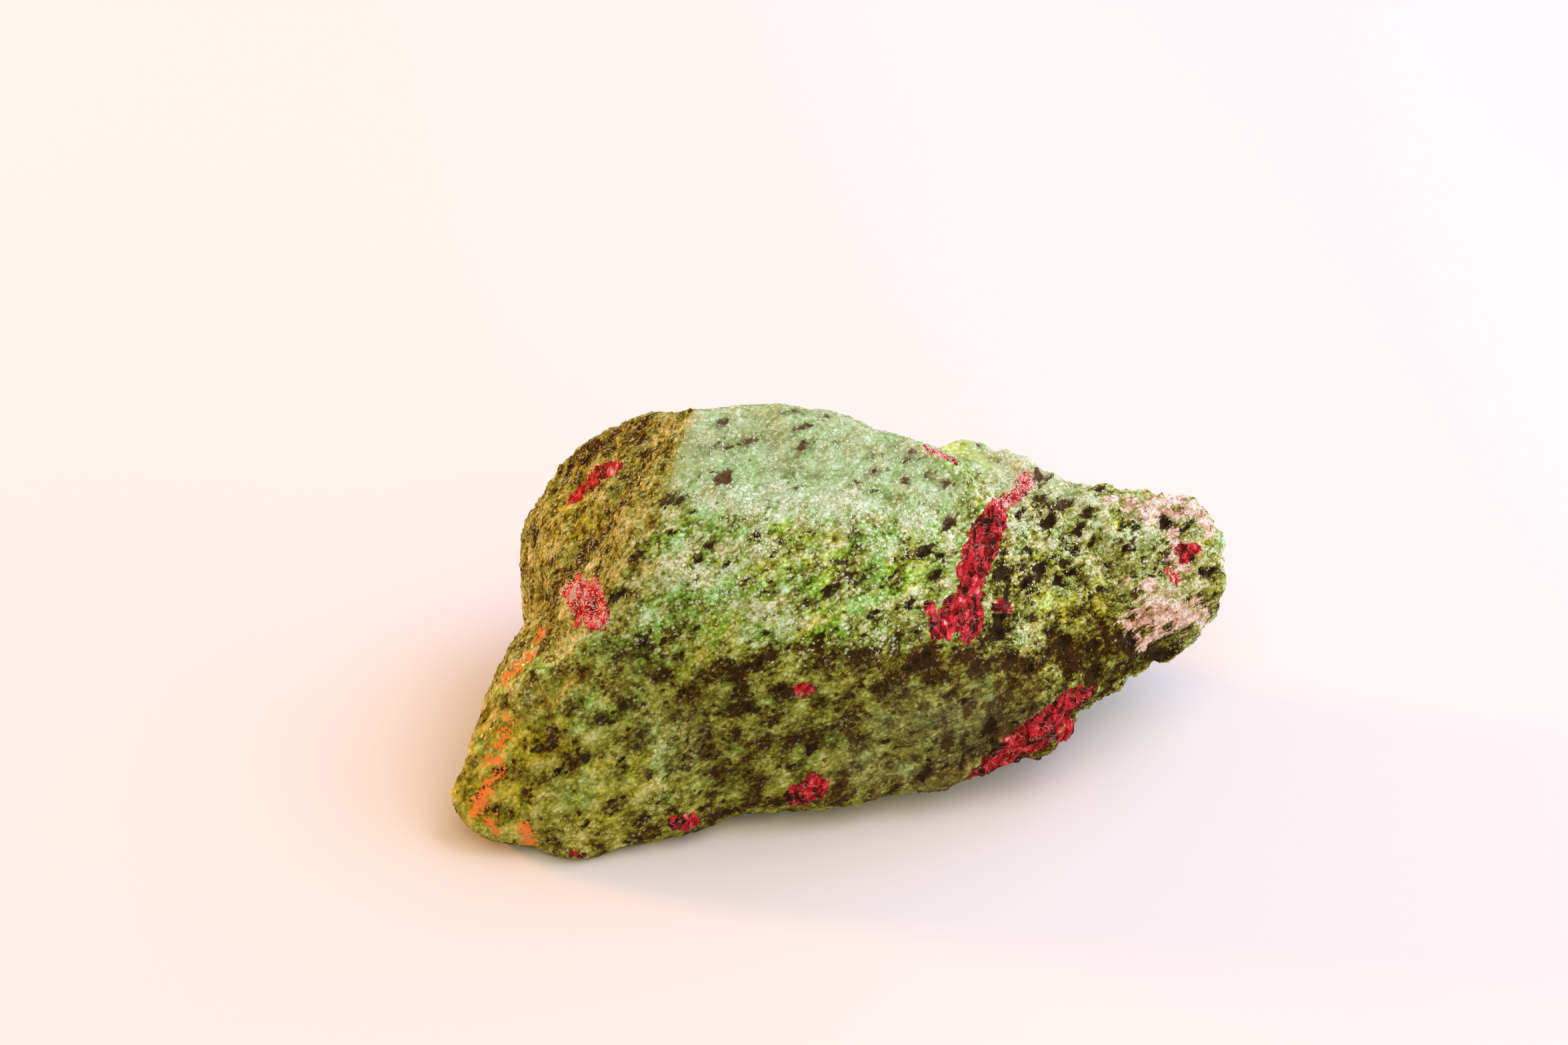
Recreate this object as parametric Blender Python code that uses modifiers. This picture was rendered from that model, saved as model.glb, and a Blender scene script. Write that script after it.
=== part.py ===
"""A rough, hand-sized chunk of ruby in zoisite: one stone, lying on a flat break.

It is built as rough is trimmed. Blunt lumps, each the convex hull of a few corners, are joined into one
solid together with the ruby crystals that stand proud of it. The joins and edges are worn round, the
swells and knuckles of the rock are pressed in, and the underside is cut flat where the stone rests.
"""

import bpy
import bmesh
from mathutils import Matrix, Vector

MM = 0.001

# The corners below are in millimetres: x along the stone, y towards its back, z up from what it lies on.
# STONE_MIDDLE is the middle of the whole stone in those numbers, and is taken off every one of them.
STONE_MIDDLE = Vector((0.7, 1.6, 0))

# Each lump of the stone, as the corners of its hull.
LUMPS = {
    # The high block: a top that slopes to the front, a steep front and a broad back.
    "body": [
        (-15.6, 13.6, 34.8), (-9.6, 15.4, 33.8), (-3.4, 15.6, 32), (2.4, 14.8, 31), (10.6, 13.6, 28.9),
        (-16.7, 5.8, 31.4), (-17.7, 1, 28.8), (-19.7, -3, 25), (-8.8, 0.9, 29.6), (20, 6, 21.6),
        (-7.2, -10.6, 19), (10.4, -8.8, 16.4), (18, -5.5, 14.4), (14.4, -9.5, 3.5),
        (-17, -15, 1), (-5, -13.8, 1.6), (1, -13.6, 2), (10.4, -11.6, 2.6),
        (-14, 19, 22), (2, 20, 20), (14, 18.5, 20), (-12, 17, 3), (6, 18, 3), (15, 14, 6),
        (-12, 14, -1.2), (10, 13, -1.2), (14, 3, -1), (-12, -6, -1),
    ],
    # The left face: a band between two ridges that run down to the foot.
    "shoulder": [
        (-15.6, 12, 32.8), (-16.9, 5.8, 31.6), (-18, 1, 29), (-20.2, -3, 25.6), (-22.6, -6.8, 21.4),
        (-19.8, 13.4, 30.4), (-23.8, 6.8, 26.6), (-27.8, 3.1, 22), (-30.6, 1.4, 18.4), (-32.8, 0.4, 16),
        (-34.8, -4.2, 12.8), (-16, -2, 8), (-14, 8, 10),
    ],
    # The low toe that carries the stone at its front left.
    "foot": [
        (-27.2, -19.2, 0.8), (-22.6, -18.4, 0.8), (-36.8, -17.4, 1.8), (-40.4, -14.2, 3.4),
        (-39.2, -11, 7), (-35.6, -8, 10.4), (-34.8, -4.2, 12.8), (-33, 0.6, 15.5),
        (-20.2, -3, 25.2), (-22.8, -7, 21.2), (-17, -15, 1.4), (-9, -12.6, 3), (-10, -11, 16),
        (-26, -16.5, -1.2), (-34, -11, -1.2), (-28, 4, -1.2), (-8, 6, -1.2), (-12, -2, 20),
        (-31, 7, 2), (-30.6, 6, 11), (-6, -8, -1.2),
    ],
    # A rounded lobe behind the left face, with a valley between them.
    "lobe": [
        (-33.4, 10.4, 11.6), (-34, 14.3, 16), (-33, 15.6, 19.4), (-30.6, 17, 22.6), (-27.2, 17.6, 26),
        (-22.6, 17.2, 29.7), (-15.6, 14, 34.4), (-21, 7, 28), (-26.6, 6, 23.2), (-30.6, 4.6, 18),
        (-32.6, 5.4, 11),
        (-28.6, 19.6, 14), (-20, 20.6, 21), (-31, 15, 5), (-28, 9, 0.6), (-22, 17, 1), (-12, 6, 10),
        (-8, 18.4, 2), (-8, 20, 20),
    ],
    # The blunt nose at the right, held clear of the surface.
    "snout": [
        (18, 14.8, 23), (24.8, 14.2, 20.4), (29.6, 13.8, 21), (34, 16, 21.8), (37.8, 16.8, 20.4),
        (40.4, 14.2, 18.4), (41.6, 9.4, 14.8), (40.6, 7, 12.4), (39, 4.6, 10), (36.8, 3.4, 8),
        (31.2, 1.6, 7.6), (34.4, 1.8, 9.6), (26.4, -1.8, 12), (18, -5.4, 14), (14, 4, 22),
        (30, 16.5, 10), (36.5, 16, 12), (14, 16, 6), (12, -4, 6),
        (18, 3, 2), (20, 13, 3),
    ],
    # A small knob behind the top edge, where the block drops to the nose.
    "knob": [
        (10.8, 19.4, 22.6), (13.4, 19.8, 24.8), (17, 19, 25), (20.4, 17, 24.2), (23, 15.4, 22.4),
        (14, 21.4, 19), (20, 19.4, 17), (15, 10, 24), (7, 17, 25.6), (6, 19.6, 18), (26, 12, 16),
    ],
    # A ledge of ruby under the front edge, at the lower right.
    "ruby_ledge": [
        (14.4, -10.4, 3.2), (20.8, -9.2, 4), (24.4, -5, 5.4), (28, -1.6, 6.8), (32, 1.2, 6.8),
        (27, -2.2, 11.6), (12, -10, 7), (18, -6.8, 13), (22, -4.4, 12.8), (14, 2, 3), (26, 6, 6),
    ],
    # A low step across the back wall.
    "back_step": [
        (-6, 20.6, 18), (-1, 22.2, 15), (7, 22, 12.6), (11, 19.6, 9), (3, 20.6, 4), (-9, 19.6, 5),
        (-12, 14, 14), (14, 12, 8),
    ],
}

# Each ruby crystal that stands proud: the girth of its prism, and the line it follows just under the skin.
RUBIES = {
    "band": (1.7, [(18.4, 13.6, 22.2), (16.4, 8.4, 22.5), (13.7, 1.7, 20.6), (11.2, -5.2, 17.6)]),
    "shoulder_pad": (2.7, [(-25.6, -1.8, 19.6), (-25.2, -4, 18.9)]),
    "lobe_streak": (1.5, [(-23.8, 12.6, 25), (-26.4, 11, 23.2)]),
    "crest_spot": (1.1, [(9.4, 13.6, 27.6), (11.6, 13.2, 26.6)]),
    "front_nub": (1.5, [(-4.4, -12.6, 2.8), (-1.6, -12.2, 3.2)]),
    "foot_nub": (1.6, [(-17.4, -14.6, 1.8), (-14.4, -14, 2.2)]),
    "nose_spot": (1.2, [(35.6, 9.8, 16.8), (37.2, 10.4, 16.6)]),
    "back_streak": (1.8, [(-16, 18.6, 10), (-20, 18.8, 15)]),
    "tail_spot": (1.6, [(24, 16.2, 14), (27, 16.2, 12.6)]),
}

FUSING = (1.05 * MM, 8)  # grid on which the lumps are fused, and passes that wear the joins and edges round
SKINNING = (0.8 * MM, 3)  # the same once the relief is pressed in
RELIEF = {"swell": (13 * MM, 2.2 * MM), "knuckles": (4.5 * MM, 1.6 * MM)}  # name: (grain, height)
SHARE_OF_FACES_KEPT = 0.3
BED_SIZE = Vector((120, 80, 20)) * MM  # the block below the surface that the stone rests on

ZOISITE_GREEN = (0.25, 0.36, 0.13, 1)


def clear_scene():
    for obj in list(bpy.data.objects):
        bpy.data.objects.remove(obj, do_unlink=True)


def collection(name):
    made = bpy.data.collections.new(name)
    bpy.context.scene.collection.children.link(made)
    return made


def as_guide(obj):
    """Marks an object that only shapes the stone."""
    obj.hide_render = True
    obj.display_type = "WIRE"
    return obj


def new_object(name, shape, home):
    mesh = bpy.data.meshes.new(name)
    shape.to_mesh(mesh)
    shape.free()
    obj = bpy.data.objects.new(name, mesh)
    home.objects.link(obj)
    return obj


def close_hull(name, shape, home):
    """Wraps the points in shape in their convex hull, centres it on the stone and makes it a guide."""
    bmesh.ops.delete(shape, geom=shape.edges, context="EDGES_FACES")
    made = bmesh.ops.convex_hull(shape, input=shape.verts)
    inside = {g for g in made["geom_interior"] + made["geom_unused"] if isinstance(g, bmesh.types.BMVert)}
    bmesh.ops.delete(shape, geom=list(inside), context="VERTS")
    bmesh.ops.translate(shape, vec=-STONE_MIDDLE * MM, verts=shape.verts)
    bmesh.ops.recalc_face_normals(shape, faces=shape.faces)
    return as_guide(new_object(name, shape, home))


def lump(name, corners, home):
    """A blunt lump of rock between its corners."""
    shape = bmesh.new()
    for corner in corners:
        shape.verts.new(Vector(corner) * MM)
    return close_hull(name, shape, home)


def crystal(name, girth, line, home):
    """A stubby many-sided crystal of one girth along a line."""
    shape = bmesh.new()
    for point in line:
        place = Matrix.Translation(Vector(point) * MM)
        bmesh.ops.create_icosphere(shape, subdivisions=1, radius=girth * MM, matrix=place)
    return close_hull("ruby_" + name, shape, home)


def bed(home):
    """The block that cuts the underside flat at z = 0."""
    shape = bmesh.new()
    bmesh.ops.create_cube(shape, size=1)
    bmesh.ops.scale(shape, vec=BED_SIZE, verts=shape.verts)
    bmesh.ops.translate(shape, vec=(0, 0, -BED_SIZE.z / 2), verts=shape.verts)
    return as_guide(new_object("bed", shape, home))


def boolean(stone, name, other, operation):
    step = stone.modifiers.new(name, "BOOLEAN")
    step.operation = operation
    step.object = other


def press_relief(stone):
    for name, (grain, height) in RELIEF.items():
        texture = bpy.data.textures.new(name, "CLOUDS")
        texture.noise_scale = grain
        texture.noise_depth = 2
        push = stone.modifiers.new(name, "DISPLACE")
        push.texture = texture
        push.texture_coords = "LOCAL"
        push.strength = height


def zoisite():
    material = bpy.data.materials.new("zoisite")
    material.use_nodes = True
    surface = material.node_tree.nodes["Principled BSDF"]
    surface.inputs["Base Color"].default_value = ZOISITE_GREEN
    surface.inputs["Roughness"].default_value = 0.65
    surface.inputs["Metallic"].default_value = 0
    return material


def fuse(stone, name, grid, passes):
    """Runs everything so far into one closed skin on a grid and rounds it by that many passes."""
    skin = stone.modifiers.new("fuse_" + name, "REMESH")
    skin.mode = "VOXEL"
    skin.voxel_size = grid
    stone.modifiers.new("round_" + name, "SMOOTH").iterations = passes


def main():
    clear_scene()
    home = collection("ruby_in_zoisite")
    guides = collection("lumps_and_bed")
    pieces = [lump(name, corners, guides) for name, corners in LUMPS.items()]
    pieces += [crystal(name, girth, line, guides) for name, (girth, line) in RUBIES.items()]

    stone = bpy.data.objects.new("stone", pieces[0].data.copy())
    home.objects.link(stone)
    for piece in pieces[1:]:
        boolean(stone, "join_" + piece.name, piece, "UNION")
    fuse(stone, "lumps", *FUSING)
    press_relief(stone)
    fuse(stone, "relief", *SKINNING)
    stone.modifiers.new("thin", "DECIMATE").ratio = SHARE_OF_FACES_KEPT
    boolean(stone, "rest_flat", bed(guides), "DIFFERENCE")
    stone.data.materials.append(zoisite())
    stone.data.shade_smooth()


main()
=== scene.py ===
import math

import bmesh
import bpy
import numpy as np
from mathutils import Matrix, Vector, kdtree, noise


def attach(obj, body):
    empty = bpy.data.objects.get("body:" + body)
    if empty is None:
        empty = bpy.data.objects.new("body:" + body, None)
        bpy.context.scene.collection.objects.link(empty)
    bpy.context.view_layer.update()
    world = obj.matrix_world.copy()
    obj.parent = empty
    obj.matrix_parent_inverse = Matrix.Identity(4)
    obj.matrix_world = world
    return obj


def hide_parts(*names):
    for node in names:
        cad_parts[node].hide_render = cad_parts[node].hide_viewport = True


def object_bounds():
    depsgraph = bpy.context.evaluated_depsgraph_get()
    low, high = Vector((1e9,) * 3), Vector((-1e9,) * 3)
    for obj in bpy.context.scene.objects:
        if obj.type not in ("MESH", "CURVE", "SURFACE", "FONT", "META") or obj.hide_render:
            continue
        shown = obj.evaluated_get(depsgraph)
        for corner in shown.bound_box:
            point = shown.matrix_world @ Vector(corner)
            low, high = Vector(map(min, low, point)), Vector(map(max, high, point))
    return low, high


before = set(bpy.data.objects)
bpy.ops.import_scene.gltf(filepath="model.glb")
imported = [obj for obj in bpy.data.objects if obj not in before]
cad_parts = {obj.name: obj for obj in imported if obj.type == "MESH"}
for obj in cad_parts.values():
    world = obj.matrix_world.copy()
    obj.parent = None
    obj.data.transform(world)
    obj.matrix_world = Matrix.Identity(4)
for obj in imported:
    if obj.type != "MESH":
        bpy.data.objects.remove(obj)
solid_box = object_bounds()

# ---------------------------------------------------------------------------------------------
# The stone's skin
# One lump of zoisite rock, broken from a larger block and never polished, with ruby and hornblende
# grown into it. The solid carries its lumps and ledges; this skin adds what a hammer leaves between
# them, from swells of a few millimetres down to single grains.
# ---------------------------------------------------------------------------------------------
SKIN_GRID = 0.335  # mm between the skin's points
WEAR = 14  # smoothing passes, which take the solid's flat facets off the skin
noise.seed_set(8)  # without a seed, noise_vector gives other values in each run


def fine_copy(solid):
    """A close-meshed, rounded copy of the solid, with its place in its mesh."""
    shape = bmesh.new()
    shape.from_mesh(solid.data)
    shape.transform(solid.matrix_world)
    bmesh.ops.remove_doubles(shape, verts=shape.verts, dist=1e-6)
    mesh = bpy.data.meshes.new("zoisite_stone")
    shape.to_mesh(mesh)
    shape.free()
    rough = bpy.data.objects.new("zoisite_stone", mesh)
    bpy.context.scene.collection.objects.link(rough)
    grid = rough.modifiers.new("grid", "REMESH")
    grid.mode = "VOXEL"
    grid.voxel_size = SKIN_GRID / 1000
    rough.modifiers.new("wear", "SMOOTH").iterations = WEAR
    fine = bpy.data.meshes.new_from_object(rough.evaluated_get(bpy.context.evaluated_depsgraph_get()))
    rough.modifiers.clear()
    rough.data = fine
    bpy.data.meshes.remove(mesh)
    return rough


def vectors_of(mesh, kind):
    """The mesh's places ("co") or normals ("normal"), a row of three numbers for each point."""
    values = np.empty(len(mesh.vertices) * 3, np.float32)
    mesh.vertices.foreach_get(kind, values)
    return values.reshape(-1, 3)


stone = fine_copy(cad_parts["stone"])
skin = stone.data
points = vectors_of(skin, "co").astype(float) * 1000  # all that follows here is in millimetres
x, y, z = points.T
facing = vectors_of(skin, "normal").astype(float)


def distance_to(places, chains):
    """Millimetres from each place to the nearest chain of balls (x, y, z, radius), below 0 inside it."""
    nearest = np.full(len(places), 50.0)
    for chain in chains:
        balls = np.array(chain if len(chain) > 1 else chain * 2, float)
        for a, b in zip(balls[:-1], balls[1:]):
            along = b[:3] - a[:3]
            t = np.clip((places - a[:3]) @ along / max(along @ along, 1e-9), 0, 1)
            off = np.linalg.norm(places - a[:3] - t[:, None] * along, axis=1)
            nearest = np.minimum(nearest, off - a[3] - t * (b[3] - a[3]))
    return nearest


def rise(values, low, high):
    """0 below low, 1 above high and a smooth slope between; low may be the larger."""
    t = np.clip((values - low) / (high - low), 0, 1)
    return t * t * (3 - 2 * t)


def swell(places, grain, octaves=3, stretch=(1, 1, 1)):
    """Smooth noise from about -1 to 1 with lumps of that many millimetres."""
    scaled = places / np.array(stretch) / grain
    return np.array([noise.fractal(p, 0.7, 2.1, octaves) for p in scaled])


# Ruby: a band across the top near the nose, which forks at its lower end, a ledge under the front
# edge, a mottled pad on the left face, and specks.
RUBIES = [
    [(18.8, 12.5, 23.6, 0.9), (17.8, 9.8, 23.6, 0.6), (16.2, 8.3, 24, 0.8), (15.3, 6.3, 23.6, 1.5),
     (14.4, 4.3, 23, 1.75), (13.6, 2.3, 22.5, 1.7), (13, 0.4, 21.9, 1.6), (12.7, -1.4, 21, 1.3),
     (12.5, -3.4, 20.3, 1.8), (12.2, -5.3, 19.5, 1.8), (12, -6.6, 18.8, 1.0)],
    [(12, -3.4, 20.5, 0.8), (10.9, -3.4, 20.7, 0.8), (9.9, -5.4, 20.3, 0.85), (9, -7.3, 19.7, 0.7)],
    [(8.4, -4.3, 20.7, 0.7), (8.8, -6.7, 20.1, 0.7)],
    [(11, -5.8, 19.9, 1.0), (9.6, -6.9, 19.7, 0.9)],
    [(14.9, -2.7, 19.1, 0.5), (16.1, -2.1, 18.9, 0.8)],
    [(34.8, 8.0, 17.7, 0.8), (36.1, 8.3, 17.3, 0.9), (35, 7.2, 16.9, 0.6)],
    [(33.5, 5.7, 16.6, 0.4), (34.2, 5.2, 16.1, 0.5)],
    [(-27.4, -2.4, 21.4, 1.4), (-26.1, -4.4, 21.6, 2.1), (-25.1, -6.3, 21, 1.5)],
    [(-27.8, 9.5, 23.4, 0.9), (-25.8, 9.5, 25.6, 1.2), (-23.6, 8.9, 28, 0.9)],
    [(8.4, 11.6, 28.4, 0.5), (10.9, 10.9, 27.3, 0.6)],
    [(-4.6, -12.5, 17, 0.7), (-3.6, -12.4, 16.9, 0.5)],
    [(-4.9, -15.1, 4.6, 1.4), (-3.0, -14.8, 5.6, 1.3)],
    [(-17.1, -17.6, 3.3, 1.0), (-15.8, -17.4, 3.3, 1.0)],
    [(-27.4, -20.1, 1.2, 0.5), (-26.2, -20.1, 1.1, 0.4)],
    [(13.8, -11.5, 4.4, 1.2), (16.4, -10.5, 6.2, 1.7), (18.7, -9.6, 7.7, 2.0), (21.1, -8.3, 8.8, 1.9),
     (23.2, -6.5, 9.5, 1.6), (25.3, -5.2, 9.4, 0.9)],
    [(17.5, -9, 4.5, 1.3), (22, -6.8, 6.2, 1.7)],
    [(-16.7, 17.5, 9, 1.3), (-20.7, 17.5, 15.5, 1.6)],
    [(23.3, 14.8, 14, 1.1), (26.3, 14.8, 12.6, 1.3)],
    [(2, 19.5, 8, 0.8), (4.5, 19.2, 7, 0.6)],
]
PALE_RUBIES = [RUBIES[7], RUBIES[9], RUBIES[6], [(18.8, 12.5, 23.6, 1.1), (16, 8.3, 24, 0.9)]]
# Coats: cream-pink weathered feldspar on the nose, and orange painted on the crests at the far left.
CREAM = [
    [(27.1, 10.9, 21.8, 0.4), (29.2, 11.7, 21.3, 0.8), (31.3, 11, 20.5, 1.2), (33.5, 12.1, 20.1, 1.4),
     (35.3, 13.1, 20, 1.5), (36.6, 12.3, 19.2, 1.5), (37.8, 11.2, 18.1, 1.2)],
    [(28.8, 0, 14.1, 0.8), (30.9, 1.2, 14.4, 1.5), (33.1, 1.9, 14.3, 1.8), (35.2, 3, 13.8, 1.7),
     (36.8, 3.4, 12, 1.3)],
    [(32.4, 0.7, 13, 1.3), (30.2, -0.4, 12.6, 0.9)],
    [(29.6, 4.1, 17.1, 0.3), (32.1, 3.9, 16.2, 0.8)],
    [(34.2, 9.2, 18.1, 1.2), (34.6, 6.6, 16.8, 1.0)],
]
ORANGE_MARKS = [
    [(-30.6, -4.3, 17.5, 0.4), (-31, -5, 17, 0.4)],
    [(-32.1, -6.6, 15.9, 0.45), (-33.3, -7.3, 14.9, 0.4), (-34.6, -7.7, 13.8, 0.4)],
    [(-34.1, -11.5, 11.9, 0.35)], [(-34.5, -12.4, 10.7, 0.35)], [(-35, -12.9, 9.7, 0.4)],
    [(-35, -14, 8.6, 0.5), (-36.2, -13.5, 8.2, 0.3)], [(-35.2, -14.9, 7.5, 0.4)],
    [(-36, -15.4, 6.6, 0.5), (-36.7, -16.3, 5.4, 0.7), (-37.3, -16.9, 4.5, 0.6)],
    [(-35.9, -17.9, 4.1, 0.4), (-35.4, -18.6, 3, 0.5)],
    [(-32.4, -18.6, 3.6, 0.6), (-32.1, -18.8, 1.8, 0.6)],
]
# Where each kind of rock lies: chains of balls, then half the width of the soft edge. White is loose
# sugar grains, lime and leaf are fresh zoisite, moss and the dark brown zone its dark joints (the dark
# brown zone is also painted shade down the left valley), grey the dull patches low on the front, fibre
# the torn left face.
ZONES = {
    "mint": ([
        [(-12, 8, 32, 8.5), (-2, 9, 31, 8.5), (5, 9, 28.5, 5.5)],
        [(15, 15.5, 24, 4), (22, 12.5, 22.6, 2.5)], [(9, 7, 26.5, 3)],
    ], 3),
    "white": ([
        [(-16, -4, 27, 2), (-13.5, -5.5, 25, 2)], [(-12.5, -4, 26, 1.4), (-11, -5.5, 25, 1.4)],
        [(-14, 2, 30.5, 2), (-6, 1.5, 29, 2.2), (2.5, 3.5, 27.5, 2)], [(-8, -2, 27, 1.8)],
        [(4.5, 0.5, 25, 1.3)], [(7, 4, 26, 2), (9.5, 3, 24, 1.3)],
        [(-8, -8, 22.5, 1.3), (-6.5, -8.5, 22, 1.2)], [(4, -8.5, 20, 1)],
        [(18, 7, 22.5, 1.2), (19.5, 6.5, 22, 1)], [(24, 5, 19.5, 1.2)], [(34, 4, 15.5, 1)],
        [(30, 8, 20, 1.6)],
    ], 1.6),
    "lime": ([
        [(-6, -0.5, 27.5, 1), (-5, -1.5, 27, 1)], [(-6, -3.5, 26, 1), (-9.5, -5, 25.5, 0.8)],
        [(-1, -2, 25.5, 0.8), (-2.5, -5.5, 24, 1)], [(-2.5, -7.5, 22, 1.1), (-3, -8.5, 21.5, 0.8)],
        [(6, -1, 23.5, 1.4), (6.5, -2.5, 22, 1.2)], [(-13.5, -9.5, 20.5, 1.5), (-16.5, -11.5, 17.5, 1.4)],
        [(-33, -13.5, 10.5, 2.5)], [(-35.5, -16.5, 5.5, 3)], [(-26.5, 6, 24, 2), (-29.5, 9.5, 22.5, 2)],
        [(-31.5, 6, 18, 2)], [(-27.5, 3, 22.5, 1.5)], [(22, 3.5, 19, 1.6)],
        [(18, 1, 20, 1.4), (20.5, -0.5, 17.5, 1.8), (23, 0, 16.5, 2)],
        [(12, 16, 25, 2), (14, 14.5, 24.5, 1.8)], [(26, 1.5, 16.5, 1.8)],
    ], 1.8),
    "leaf": ([
        [(-14, -1, 29, 1.4)], [(2.5, 0.5, 25.5, 1.5), (3, -1, 25, 1)],
        [(0, -6, 23, 1.2), (-1.5, -9, 21, 1)], [(-17.5, -10.5, 18.5, 1.5)],
        [(-27, -12.5, 14.5, 1.5), (-23.5, -13, 14, 1.7)], [(-27, -17, 8.5, 2)], [(-19, -16, 10, 2.5)],
        [(-30, -18.5, 4.5, 1.6)], [(-10, 4, 31, 2)],
    ], 1.8),
    "moss": ([
        [(0, -3.5, 24.5, 1.7), (3, -3.5, 24, 1.7)], [(-6.5, -5.5, 24.5, 1)], [(0, -8, 21.5, 1.2)],
        [(-13.5, -7.5, 23, 2.2), (-17, -7.5, 22.5, 2.5)], [(-25.5, -9, 19, 1.5), (-21.5, -9.5, 19, 2.4)],
        [(-22, -13.5, 13.5, 1.8), (-26, -14, 13, 1.4)],
    ], 1.8),
    "umber": ([
        [(-12, -11.5, 18.5, 0.7), (-7, -11, 20, 1), (-4, -10, 20.5, 1), (1, -10, 19.5, 0.9),
         (5.5, -9.5, 19, 1.2), (12, -8.5, 17.5, 1.6), (18, -6, 15, 0.9), (23, -4, 13.5, 0.8)],
        [(17, 0.5, 20.5, 1.7), (20, 2.5, 19.7, 1.7)],
        [(-31, -14.5, 11, 0.9), (-29, -14.5, 11.5, 0.9)],
        [(-33, -16, 8, 0.9)],
        # This chain is painted shade: the dark line down the valley where the left lobe drops behind the
        # ridge.
        [(-21.5, 6.5, 30, 0.7), (-23.5, 3.5, 28, 0.9), (-25.5, 2, 25, 1), (-28, 0.5, 22, 1),
         (-30.5, -2, 19, 0.8)],
        [(-21, 12.5, 30.5, 1.2), (-25, 14, 27.5, 1.6), (-29.5, 12, 24.5, 1.4)],
        [(12.5, 14.5, 25, 0.3), (14, 15.5, 24.5, 0.4), (16, 15, 24, 0.3)],
        [(20, 9.5, 23, 0.4), (25.5, 9.5, 22, 0.4)],
        [(14, -5, 18.5, 1.4), (15.5, -4.5, 17.8, 1.4)],
        [(16, 3.5, 22.3, 0.5), (15.6, -1, 20, 0.9)],
    ], 1.5),
    "grey": ([
        [(6, -13, 12, 3), (16, -10.5, 11, 4)], [(2, -14, 7, 2.5), (10, -12, 4, 3)], [(-19, -15, 12, 3)],
    ], 4),
    "fibre": ([
        [(-21, 5, 30, 3), (-26, 6, 26, 5), (-30, 9, 21, 8)], [(-24, -1, 24, 4), (-29, 1, 19, 3)],
        [(-22, 14, 28, 6), (-28, 16, 18, 7)], [(-15, 15, 31, 2.5), (2, 15, 30, 1.5)],
    ], 3),
}
fray = 0.7 * swell(points + 60, 1.7)  # mm by which the edges of the zones waver
zones = {zone: rise(distance_to(points, chains) + fray, edge, -edge)
         for zone, (chains, edge) in ZONES.items()}
# The torn left face meets the top at a sharp edge, which leans over as it comes forward.
beyond = -15.7 - 0.32 * (9.9 - y) - x
leftward = rise(beyond + 0.5 * fray, -0.4, 0.7) * rise(y, -8.5, -5.5)
heel = rise(distance_to(points, [[(-34, -14, 6, 9), (-24, -15, 9, 7)]]), 4, -4)
lobe = rise(distance_to(points, [[(-27, 6, 24, 2.5), (-30, 10, 20, 4)]]), 2, -2)
knob = rise(distance_to(points, [[(12, 16, 25, 1.5), (15, 15, 24, 2)]]), 1.5, -1)
front = rise(-facing[:, 1], 0.3, 0.7) * rise(z, 22, 17) * (1 - 0.75 * heel)
nose = rise(x, 12, 18)
zones["mint"] *= 1 - leftward
zones["white"] *= 1 - leftward
zones["fibre"] = np.maximum(zones["fibre"] * rise(x, 4, -4), leftward * rise(z, 14, 18))
# Near the floor, below about 7 mm, the finish paints warm light bounced up from the floor.
zones |= {"nose": nose, "front": front, "heel": heel, "leftward": leftward, "lobe": lobe, "knob": knob,
          "chin": nose * rise(z, 18, 14) * rise(x, 36, 32), "far_front": front * rise(x, -10, -18),
          "foot": rise(z, 7, 0.5), "shade": np.maximum(front, heel), "torn": leftward * (1 - lobe),
          "fresh": np.clip(zones["lime"] + 0.2 * heel, 0, 1)}


def mixed(base, **shares):
    """A number for each point of the skin: the base, and each named zone's share where it lies."""
    total = np.full(len(points), float(base))
    for zone, share in shares.items():
        total += share * zones[zone]
    return total


# What the finishes read. Ruby, cream and the orange marks are distances in millimetres; tone is how light
# the rock is, the brown field how brown (partly the rock's own, partly painted warm light near the floor
# and on the left face), contrast and patches how much its grains and lumps differ, swing how far its hue
# strays, lime how yellow it is, pastel how milky, bruised how white single grains can be.
fields = {
    "ruby": distance_to(points, RUBIES), "cream": distance_to(points, CREAM),
    "orange_marks": distance_to(points, ORANGE_MARKS), "pale": rise(distance_to(points, PALE_RUBIES), 0.8, -0.4),
    "mint": zones["mint"], "white": zones["white"], "umber": zones["umber"], "fibre": zones["fibre"],
    "tone": mixed(0.575, white=0.10, mint=0.105, lime=0.05, moss=-0.11, umber=-0.22, lobe=-0.12,
                  knob=0.09, nose=0.14, chin=-0.20, front=-0.27, far_front=0.03, heel=-0.02,
                  leftward=-0.07),
    # Brown: near the floor this is painted warm light bounced from the floor, and on the left face partly
    # the warm lamp's light painted in; elsewhere it is the rock's own brown.
    "brown_and_warm_light": mixed(0, front=0.17, nose=0.09, leftward=0.20, heel=0.22, umber=0.18, foot=0.5, leaf=-0.14,
                   moss=-0.10, mint=0.03),
    "contrast": mixed(1, nose=0.3, shade=-0.4, knob=-0.5, mint=-0.45),
    "patches": mixed(1.1, mint=-0.6, shade=0.12),
    "swing": mixed(1.5, mint=-0.8, leftward=-1.0, front=-0.4),
    "lime": mixed(0, fresh=1, mint=-0.5, torn=-0.6, front=-0.4),
    "pastel": np.maximum(zones["mint"], 0.6 * zones["grey"] * front),
    "bruised": np.clip(mixed(0.6, white=0.4, nose=0.25, shade=-0.5, chin=-0.45, leftward=-0.2), 0, 1),
}

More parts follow.
